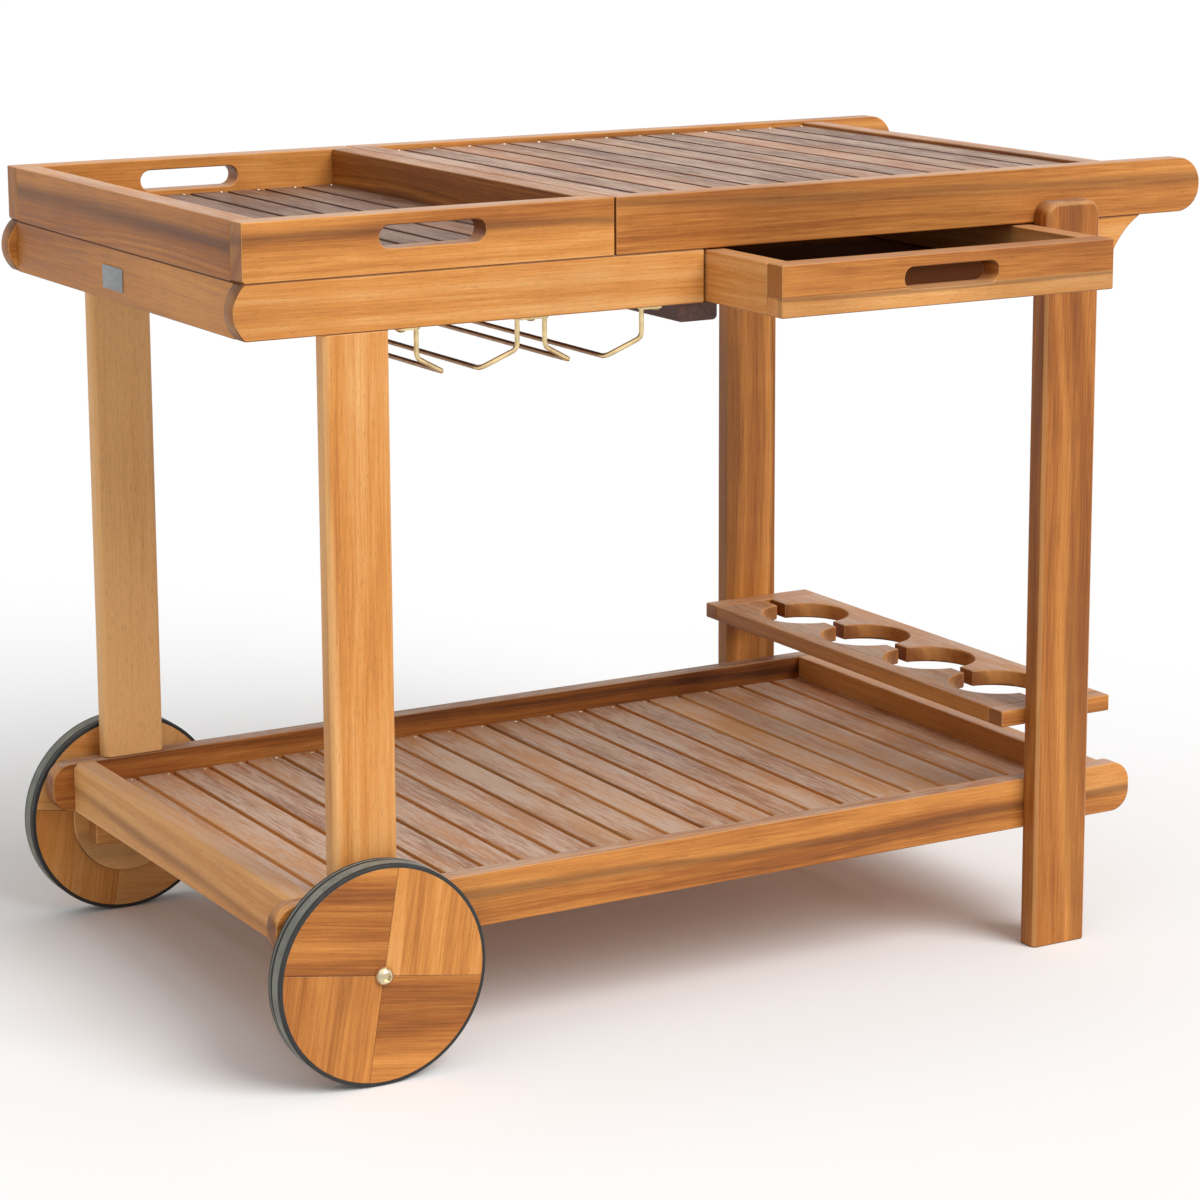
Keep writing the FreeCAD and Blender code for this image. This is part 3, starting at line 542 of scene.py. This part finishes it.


# boards in the order of their seeds: the way of the grain, the tone and the strength of the heart streaks,
# and for some a band, a paler strip below, how far their upper faces are paled, by bleaching and wiping and
# by a painted sheen of the light from above, or how they shine
BOARDS = {
    "top_rail_front": dict(grain="X", tone=-0.04, streak=0.6, band=(0.012, 0.012, 0.5)),
    "top_rail_back": dict(grain="X", tone=-0.04, streak=0.5),
    "top_cross_tray": dict(grain="Y", tone=-0.16, streak=0.3, top_bleach_and_sheen=0.55),
    "top_cross_handle": dict(grain="Y", tone=-0.12, streak=0.3, top_bleach_and_sheen=0.5),
    "top_battens": dict(grain="X", tone=0.0, streak=0.3),
    "apron_rail_front": dict(grain="X", tone=0.06, streak=0.12),
    "apron_rail_back": dict(grain="X", tone=0.0, streak=0.4),
    "apron_corbel_front": dict(grain="X", tone=-0.04, streak=0.4),
    "apron_end": dict(grain="Y", tone=-0.06, streak=0.45),
    "drawer_wall_tray": dict(grain="Y", tone=-0.1, streak=0.4),
    "drawer_wall_handle": dict(grain="Y", tone=-0.1, streak=0.4),
    "tray_side_front": dict(grain="X", tone=0.07, streak=0.5, band=(0.014, 0.009, 0.6)),
    "tray_side_back": dict(grain="X", tone=0.0, streak=0.3),
    "tray_end_outer": dict(grain="Y", tone=-0.1, streak=0.6, band=(0.004, 0.016, 0.7)),
    # painted shade: part of this board's low tone stands for the shade on its inner face
    "tray_end_inner": dict(grain="Y", tone=-0.14, streak=0.6),
    "tray_battens": dict(grain="X", tone=0.0, streak=0.3),
    "drawer_front": dict(grain="X", tone=-0.16, streak=0.3, band=(-0.008, 0.003, 0.5), strip=0.38, top_bleach_and_sheen=0.2),
    "drawer_side_tray": dict(grain="Y", tone=-0.04, streak=0.35, top_bleach_and_sheen=0.2),
    "drawer_side_handle": dict(grain="Y", tone=0.12, streak=0.2, top_bleach_and_sheen=0.2),
    "drawer_back": dict(grain="X", tone=-0.1, streak=0.3, top_bleach_and_sheen=0.2),
    # painted shade: the drawer's bottom is darker and less glossy, standing in for the deep shade inside the
    # drawer
    "drawer_bottom": dict(grain="X", tone=-0.36, streak=0.4, top_bleach_and_sheen=0.0, shine=0.05),
    "leg_front_handle": dict(grain="Z", tone=-0.16, streak=0.3, band=(-0.006, 0.006, 0.2)),
    "leg_back_handle": dict(grain="Z", tone=-0.02, streak=0.4),
    "leg_front_wheel": dict(grain="Z", tone=0.03, streak=0.2, band=(0.032, 0.008, -0.6)),
    # painted light: this leg's high tone stands in for light that the tray's shade keeps from its front face
    "leg_back_wheel": dict(grain="Z", tone=0.28, streak=0.14),
    "shelf_rail_front": dict(grain="X", tone=-0.1, streak=0.7, band=(0.0, 0.008, 0.6)),
    "shelf_rail_back": dict(grain="X", tone=-0.21, streak=0.5),
    "shelf_cross_wheel": dict(grain="Y", tone=0.1, streak=0.4, top_bleach_and_sheen=0.36),
    "shelf_cross_handle": dict(grain="Y", tone=0.0, streak=0.4),
    "shelf_battens": dict(grain="X", tone=0.0, streak=0.3),
    "rack_cleat_front": dict(grain="X", tone=-0.2, streak=0.5),
    "rack_cleat_back": dict(grain="X", tone=-0.16, streak=0.4),
    "rack_board_shelf_side": dict(grain="Y", tone=-0.06, streak=0.5),
    "rack_board_handle_side": dict(grain="Y", tone=-0.06, streak=0.4),
    "axle_block_front": dict(grain="X", tone=-0.03, streak=0.4),
    "axle_block_back": dict(grain="X", tone=-0.03, streak=0.4),
    "wheel_front_disc": dict(grain="X", tone=0.02, streak=0.3),
    # painted light: the back disc's high tone stands in for light that the shelf's shade keeps from it
    "wheel_back_disc": dict(grain="X", tone=0.2, streak=0.3),
}
# slats: pitch, tone, how far their upper faces are paled, by bleaching and wiping and by a painted sheen from
# above, and how much their sides are paled as painted light
SLATS = {
    "top_slats": dict(pitch=45.1 * MM, tone=-0.3, top_bleach_and_sheen=0.42, painted_side_light=0.0),
    # part of the tray slats' low tone is painted shade, for the shade cast by the tray's sides
    "tray_slats": dict(pitch=44.5 * MM, tone=-0.46, top_bleach_and_sheen=0.19, painted_side_light=0.0),
    "shelf_slats": dict(pitch=44.3 * MM, tone=-0.12, top_bleach_and_sheen=0.6, painted_side_light=0.3),
}
# seeds of the boards, the slats and the wheels start here and go up by so much
BOARD_SEEDS, SLAT_SEEDS, WHEEL_SEEDS = (1.0, 1.0), (40.0, 17.0), (7.0, 5.0)
# tones of the wheels' quarters; the back wheel's higher tone is painted light, standing in for light that the
# shelf's shade keeps from its inner side
WHEELS = {"front": -0.19, "back": 0.06}
# rounding of a wheel's quarters, small enough to keep the seams between them fine
QUARTER_EASE = 0.4 * MM
# grooves of a tyre, by their place beside its middle and half their width, as shares of its width
GROOVES = ((0.24, 0.05), (0.0, 0.03))
TREAD_CUTS, SHOULDER = 12, 1.6 * MM
WIRE_SIDES, BEND_STEPS = 14, 6
# ends of the straps, as a share of their width, and their eased lower edges
STRAP_ROUND, STRAP_EASE = 0.49, 0.4 * MM
SCREW_RADIUS, SCREW_HIGH = 4.2 * MM, 2.2 * MM
# height of a pin head, and how deep it is driven in
PIN_HIGH, PIN_SINK = 1.1 * MM, 0.3 * MM
# the plate's middle, towards the back and down from the middle of the apron's end
PLATE_ASIDE, PLATE_DOWN = 12 * MM, 3 * MM
PLATE_CORNER, PLATE_EASE = 1.5 * MM, 0.3 * MM


def seed_of(seeds, number):
    """Seed of the piece with this number, of the seeds' start and step."""
    return seeds[0] + seeds[1] * number


class CART_OT_boards(bpy.types.Operator):
    """Finish the rails, legs, boards and drawer in acacia"""
    bl_idname = "cart.boards"
    bl_label = "Boards"

    def execute(self, context):
        look = context.scene.cart_finish
        for number, (name, traits) in enumerate(BOARDS.items()):
            dress(name, board_wood(name, seed_of(BOARD_SEEDS, number), **traits))
            ease_edges(NODES[name], look.ease)
        return {"FINISHED"}


class CART_OT_tray_boards(bpy.types.Operator):
    """Tighten the lower outer corners of the tray's long boards"""
    bl_idname = "cart.tray_boards"
    bl_label = "Tray boards"

    solid: size_prop("Solid's corner", "Rounding of the corners in the CAD solids", 10 * MM)
    corner: size_prop("Corner", "Rounding of the corners", 4 * MM)

    def execute(self, context):
        share = self.corner / self.solid
        reach = self.solid + NEAR
        for side in ("front", "back"):
            node = NODES[f"tray_side_{side}"]
            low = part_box(node.name)[0]
            begin()
            board = bpy.data.objects.new(f"{side}_tray_board", node.data.copy())
            context.scene.collection.objects.link(board)
            board.select_set(True)
            context.view_layer.objects.active = board
            edit()
            bpy.ops.mesh.select_all(action="SELECT")
            bpy.ops.mesh.remove_doubles(threshold=SAME)
            pick("verts", lambda p, v: p.x < low.x + reach and p.z < low.z + reach)
            bpy.ops.transform.resize(value=(share, 1, share), center_override=low)
            close(board.name)
            hand_over(board, node.material_slots[0].material, "tray", "wood", node.name)
            ease_edges(board, context.scene.cart_finish.ease)
        return {"FINISHED"}


class CART_OT_slats(bpy.types.Operator):
    """Finish the slats of top, tray and shelf, each with its own stretch of grain"""
    bl_idname = "cart.slats"
    bl_label = "Slats"

    def execute(self, context):
        look = context.scene.cart_finish
        for number, (name, traits) in enumerate(SLATS.items()):
            dress(name, slat_wood(name, seed_of(SLAT_SEEDS, number), **traits))
            ease_edges(NODES[name], look.slat_ease)
        return {"FINISHED"}


class CART_OT_runners(bpy.types.Operator):
    """Finish the dark drawer runners"""
    bl_idname = "cart.runners"
    bl_label = "Drawer runners"

    def execute(self, context):
        look = context.scene.cart_finish
        sketch = Sketch("dark_wood")
        drawn = sketch.vector("MULTIPLY", sketch.object_space()["Object"], (1, 0.05, 1))
        lines = sketch.noise(drawn, 180, 3.0)["Fac"]
        colour = sketch.blend(sketch.span(lines, 0.3, 0.75), look.runner, times(look.runner, 2.2))
        sketch.paint(Base_Color=colour, Roughness=sketch.span(lines, *SPREAD, *OILED))
        sketch.bump(lines, 0.2, 0.4 * MM)
        for name in ("drawer_runner_tray", "drawer_runner_handle"):
            dress(name, sketch.material)
            ease_edges(NODES[name], look.slat_ease)
        return {"FINISHED"}


class CART_OT_wheels(bpy.types.Operator):
    """Finish the wheel quarters and fit the rubber tyres"""
    bl_idname = "cart.wheels"
    bl_label = "Wheels"

    turned: turn_prop("Turned", "How the wheels happen to stand", 9.5)
    steps: IntProperty(name="Steps", description="Divisions round a tyre", default=120, min=24)

    def execute(self, context):
        look = context.scene.cart_finish
        for number, (side, tone) in enumerate(WHEELS.items()):
            low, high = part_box(f"wheel_{side}_tyre")
            hub = (low + high) / 2
            rubber = tyre_rubber(f"{side}_rubber", look, hub, high.z - hub.z, high.y - hub.y)
            quarters = f"wheel_{side}_quarters"
            seed = seed_of(WHEEL_SEEDS, number)
            dress(quarters, quarter_wood(f"wood_{quarters}", hub, self.turned, seed, tone))
            ease_edges(NODES[quarters], QUARTER_EASE)
            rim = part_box(quarters)[1].z
            tyre = self.tyre(f"{side}_tyre", hub, low, high, rim, look.groove)
            hand_over(tyre, rubber, f"{side}_wheel", "tyre", f"wheel_{side}_tyre")
        return {"FINISHED"}

    def tyre(self, name, hub, low, high, rim, groove):
        """A section of the tyre above the hub, spun round the axle."""
        wide = high.y - low.y
        deep = high.z - rim
        begin()
        bpy.ops.mesh.primitive_plane_add(size=1, location=(hub.x, hub.y, rim + deep / 2),
                                         rotation=(0, math.pi / 2, 0))
        bpy.context.object.scale = (deep, wide, 1)
        edit()
        bpy.ops.mesh.delete(type="ONLY_FACE")
        pick("edges", lambda p, e: p.z > high.z - NEAR)
        bpy.ops.mesh.subdivide(number_cuts=TREAD_CUTS)
        inner = 1 if hub.y < 0 else -1
        for share, half in GROOVES:
            y = hub.y + inner * share * wide
            pick("verts", lambda p, v: p.z > high.z - NEAR and abs(p.y - y) < half * wide)
            bpy.ops.transform.translate(value=(0, 0, -groove))
        pick("verts", lambda p, v: p.z > high.z - NEAR and abs(p.y - hub.y) > wide / 2 - NEAR)
        bpy.ops.mesh.bevel(offset=SHOULDER, segments=3, affect="VERTICES")
        bpy.ops.mesh.select_all(action="SELECT")
        bpy.ops.mesh.spin(steps=self.steps, angle=2 * math.pi, center=hub, axis=(0, 1, 0))
        return close(name, smooth=40.0)


def bend_wire(points, radius, bend):
    """A round wire drawn along straight runs and spun round the bends between them."""
    here = points[0]
    facing = (points[1] - here).to_track_quat("Z", "Y").to_euler()
    begin()
    bpy.ops.mesh.primitive_circle_add(vertices=WIRE_SIDES, radius=radius, fill_type="NGON", location=here,
                                      rotation=facing)
    edit()
    for corner, after in zip(points[1:], points[2:]):
        along = (corner - here).normalized()
        onward = (after - corner).normalized()
        angle = along.angle(onward)
        setback = bend * math.tan(angle / 2)
        start = corner - along * setback
        bpy.ops.mesh.extrude_region_move(TRANSFORM_OT_translate={"value": start - here})
        axis = along.cross(onward).normalized()
        middle = start + axis.cross(along) * bend
        bpy.ops.mesh.spin(steps=BEND_STEPS, angle=-angle, center=middle, axis=axis)
        here = corner + onward * setback
    bpy.ops.mesh.extrude_region_move(TRANSFORM_OT_translate={"value": points[-1] - here})
    return close("wire")


def strap(low, high, round_end):
    """A flat strap with round ends."""
    begin()
    bpy.ops.mesh.primitive_cube_add(size=1, location=(low + high) / 2)
    bpy.context.object.scale = high - low
    edit()
    middle = (low.z + high.z) / 2
    pick("edges", lambda p, e: abs(p.z - middle) < NEAR)
    bpy.ops.mesh.bevel(offset=round_end, segments=6)
    pick("edges", lambda p, e: p.z < low.z + NEAR)
    bpy.ops.mesh.bevel(offset=STRAP_EASE, segments=2)
    return close("strap")


def domed_head(name, radius, high, facing):
    """A domed head with a round recess, its seat at the origin, that looks the way of facing."""
    begin()
    dome, rim, recess = high * 0.8, radius * 0.25, high * 0.5
    bpy.ops.mesh.primitive_cylinder_add(vertices=20, radius=radius, depth=high, location=(0, 0, high / 2))
    edit()
    pick("edges", lambda p, e: p.z > high * 0.9 and len(e.link_faces) == 2)
    bpy.ops.mesh.bevel(offset=dome, segments=3)
    pick("faces", lambda p, f: p.z > high * 0.98)
    bpy.ops.mesh.inset(thickness=rim)
    bpy.ops.mesh.extrude_region_move(TRANSFORM_OT_translate={"value": (0, 0, -recess)})
    head = close(name)
    head.data.transform(Vector((0, 0, 1)).rotation_difference(facing).to_matrix().to_4x4())
    return head


class CART_OT_glass_rack(bpy.types.Operator):
    """Bend the wires of the glass rack, with their straps and screws"""
    bl_idname = "cart.glass_rack"
    bl_label = "Glass rack"

    reach: size_prop("Reach", "Outer strap past its riser", 23 * MM)
    gap: size_prop("Gap", "Between the risers of the two channels", 30.5 * MM)
    edge: size_prop("Edge", "Strap past a riser on its other side", 3.5 * MM)
    lean: size_prop("Lean", "Long wire from its riser, along the cart", 35 * MM)
    inset: size_prop("Inset", "Long wire's end from its riser, across the cart", 12 * MM)
    knee: size_prop("Knee", "Knee below the apron", 31 * MM)
    drop: size_prop("Drop", "Long wire below the apron", 49 * MM)
    strap_wide: size_prop("Strap width", "Straps under the apron", 14 * MM)
    strap_thick: size_prop("Strap thickness", "Straps under the apron", 2.5 * MM)

    def execute(self, context):
        look = context.scene.cart_finish
        low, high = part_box("glass_rails")
        wide = (high.x - low.x - 2 * self.reach - self.gap) / 2
        first = low.x + self.reach
        risers = (first, first + wide, first + wide + self.gap, first + 2 * wide + self.gap)
        middle = (low.y + high.y) / 2
        riser_y = (high.y - low.y - self.strap_wide) / 2
        pieces = []
        for x, lean in zip(risers, (self.lean, -self.lean, self.lean, -self.lean)):
            half = []
            for side in (-1, 1):
                y = middle + side * riser_y
                half.append([Vector((x, y, high.z - self.strap_thick / 2)),
                             Vector((x, y, high.z - self.knee)),
                             Vector((x + lean, y - side * self.inset, high.z - self.drop))])
            pieces.append(bend_wire(half[0] + half[1][::-1], look.wire, look.bend))
        straps = ((low.x, first + self.edge), (risers[1] - self.edge, risers[2] + self.edge),
                  (risers[3] - self.edge, high.x))
        spots = (low.x + self.strap_wide / 2, (risers[1] + risers[2]) / 2, high.x - self.strap_wide / 2)
        under = high.z - self.strap_thick
        heads = []
        for side in (-1, 1):
            y = middle + side * riser_y
            for (x0, x1), spot in zip(straps, spots):
                pieces.append(strap(Vector((x0, y - self.strap_wide / 2, under)),
                                    Vector((x1, y + self.strap_wide / 2, high.z)),
                                    self.strap_wide * STRAP_ROUND))
                heads.append((spot, y, under))
        # painted reflection of the wood above, on the long wires
        reflection_stretch = (middle, riser_y - self.inset, look.painted_wood_reflection)
        brass = metal("brass", look.brass, roughness=0.36, painted_wood_reflection=reflection_stretch)
        hand_over(join("glass_rack", pieces), brass, "cart", "brass", "glass_rails")
        screw = domed_head("glass_rack_screws", SCREW_RADIUS, SCREW_HIGH, Vector((0, 0, -1)))
        screw_brass = metal("screw_brass", look.screw, roughness=0.35)
        hand_over(repeat(screw, heads), screw_brass, "cart", "brass")
        dress("axle_bolts", metal("pale_brass", look.bolt, roughness=0.22))
        return {"FINISHED"}


class CART_OT_pins(bpy.types.Operator):
    """Drive the pins at the ends of the slats"""
    bl_idname = "cart.pins"
    bl_label = "Slat pins"

    inset: size_prop("Inset", "Pin from the end of its slat", 7 * MM)
    side: size_prop("Side", "Pin from the edge of its slat", 5 * MM)
    gap: size_prop("Gap", "Between two slats", 5.6 * MM)

    def execute(self, context):
        look = context.scene.cart_finish
        steel = metal("pin_steel", look.pin_head, roughness=0.4)
        for name, body in (("tray_slats", "tray"), ("shelf_slats", "cart"), ("top_slats", "cart")):
            low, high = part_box(name)
            pitch = SLATS[name]["pitch"]
            count = int((high.x - low.x - self.gap) / pitch) + 1
            places = []
            for i in range(count):
                for y in (low.y + self.inset, high.y - self.inset):
                    places.append((high.x - i * pitch - self.side, y, high.z - PIN_SINK))
            pin = domed_head(name.replace("slats", "pins"), look.pin, PIN_HIGH, Vector((0, 0, 1)))
            hand_over(repeat(pin, places), steel, body, "steel")
        return {"FINISHED"}


class CART_OT_metal(bpy.types.Operator):
    """Finish nuts, bolts, screws and bushes"""
    bl_idname = "cart.metal"
    bl_label = "Fasteners"

    def execute(self, context):
        look = context.scene.cart_finish
        steel = metal("steel", look.steel, roughness=0.35)
        for name in ("axle_nuts", "leg_bolts", "cleat_screws", "wheel_front_bush", "wheel_back_bush"):
            dress(name, steel)
        return {"FINISHED"}


class CART_OT_plate(bpy.types.Operator):
    """Fix the bare metal plate to the apron's end"""
    bl_idname = "cart.plate"
    bl_label = "Bare plate"

    def execute(self, context):
        look = context.scene.cart_finish
        low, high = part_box("apron_end")
        middle = (low + high) / 2 + Vector((0, PLATE_ASIDE, -PLATE_DOWN))
        middle.x = low.x - look.plate_thick / 2
        begin()
        bpy.ops.mesh.primitive_cube_add(size=1, location=middle)
        bpy.context.object.scale = (look.plate_thick, look.plate_long, look.plate_high)
        edit()
        pick("edges", lambda p, e: abs(p.x - middle.x) < NEAR)
        bpy.ops.mesh.bevel(offset=PLATE_CORNER, segments=4)
        pick("edges", lambda p, e: p.x < middle.x - look.plate_thick / 4)
        bpy.ops.mesh.bevel(offset=PLATE_EASE, segments=2)
        plate = close("bare_plate")
        hand_over(plate, brushed_metal("brushed_steel", look.steel), "cart", "steel")
        return {"FINISHED"}


class CART_OT_stage(bpy.types.Operator):
    """Set the floor, the light and the camera"""
    bl_idname = "cart.stage"
    bl_label = "Stage"

    def execute(self, context):
        stage = context.scene.cart_stage
        context.scene.view_settings.view_transform = "Standard"
        begin()
        bpy.ops.mesh.primitive_plane_add(size=120)
        floor = context.object
        floor.name = "floor"
        sketch = Sketch("pale_floor")
        sketch.paint(Base_Color=(*stage.floor, 1), Roughness=0.9, Specular_IOR_Level=0.0)
        floor.data.materials.append(sketch.material)
        self.light("key", stage.key, tip=50, turn=20, soft=40)
        self.light("fill", stage.fill, tip=15, turn=-40, soft=80)
        self.sky(context.scene, stage.sky)
        self.camera(context.scene, stage)
        return {"FINISHED"}

    def light(self, name, strength, tip, turn, soft):
        """A soft lamp, tipped from straight down and turned about the upright by so many degrees."""
        lamp = bpy.data.lights.new(name, "SUN")
        lamp.energy = strength
        lamp.angle = math.radians(soft)
        holder = bpy.data.objects.new(name, lamp)
        holder.rotation_euler = (math.radians(tip), 0.0, math.radians(turn))
        bpy.context.scene.collection.objects.link(holder)

    def sky(self, scene, strength):
        """Even light from all around; seen directly or mirrored, it is white."""
        scene.world = bpy.data.worlds.new("sky")
        scene.world.use_nodes = True
        tree = scene.world.node_tree
        path = tree.nodes.new("ShaderNodeLightPath")
        seen = path.outputs["Is Camera Ray"]
        for ray in ("Is Glossy Ray", "Is Transmission Ray"):
            either = tree.nodes.new("ShaderNodeMath")
            either.operation = "MAXIMUM"
            tree.links.new(seen, either.inputs[0])
            tree.links.new(path.outputs[ray], either.inputs[1])
            seen = either.outputs[0]
        level = tree.nodes.new("ShaderNodeMapRange")
        level.inputs["To Min"].default_value = strength
        tree.links.new(seen, level.inputs["Value"])
        background = tree.nodes["Background"]
        background.inputs["Color"].default_value = (1, 1, 1, 1)
        tree.links.new(level.outputs[0], background.inputs["Strength"])

    def camera(self, scene, stage):
        """Looks at the aim from its distance, with the roll about its own axis."""
        data = bpy.data.cameras.new("camera")
        data.lens = stage.lens
        data.shift_y = stage.drop
        data.sensor_width = 36.0
        data.clip_end = 200.0
        camera = bpy.data.objects.new("camera", data)
        level = math.cos(stage.rise)
        back = Vector((math.sin(stage.turn) * level, -math.cos(stage.turn) * level, math.sin(stage.rise)))
        turn = Matrix.Rotation(stage.turn, 4, "Z") @ Matrix.Rotation(math.pi / 2 - stage.rise, 4, "X")
        roll = Matrix.Rotation(stage.roll, 4, "Z")
        camera.matrix_world = Matrix.Translation(Vector(stage.aim) + back * stage.far) @ turn @ roll
        scene.collection.objects.link(camera)
        scene.camera = camera


class CART_PT_panel(bpy.types.Panel):
    """Lists the cart's pieces and their settings"""
    bl_idname = "CART_PT_panel"
    bl_label = "Serving cart"
    bl_space_type = "VIEW_3D"
    bl_region_type = "UI"
    bl_category = "Cart"

    def draw(self, context):
        for operator in OPERATORS:
            self.layout.operator(operator.bl_idname)
        for group in (context.scene.cart_finish, context.scene.cart_stage):
            box = self.layout.box()
            for name in group.__annotations__:
                box.prop(group, name)


OPERATORS = (CART_OT_boards, CART_OT_tray_boards, CART_OT_slats, CART_OT_runners, CART_OT_wheels,
             CART_OT_glass_rack, CART_OT_pins, CART_OT_metal, CART_OT_plate, CART_OT_stage)
CLASSES = (CartFinish, CartStage, *OPERATORS, CART_PT_panel)


def register():
    for cls in CLASSES:
        bpy.utils.register_class(cls)
    bpy.types.Scene.cart_finish = PointerProperty(type=CartFinish)
    bpy.types.Scene.cart_stage = PointerProperty(type=CartStage)


def unregister():
    del bpy.types.Scene.cart_stage
    del bpy.types.Scene.cart_finish
    for cls in reversed(CLASSES):
        bpy.utils.unregister_class(cls)


def main():
    register()
    bpy.ops.cart.boards()
    bpy.ops.cart.tray_boards()
    bpy.ops.cart.slats()
    bpy.ops.cart.runners()
    bpy.ops.cart.wheels()
    bpy.ops.cart.glass_rack()
    bpy.ops.cart.pins()
    bpy.ops.cart.metal()
    bpy.ops.cart.plate()
    bpy.ops.cart.stage()


if __name__ == "__main__":
    main()
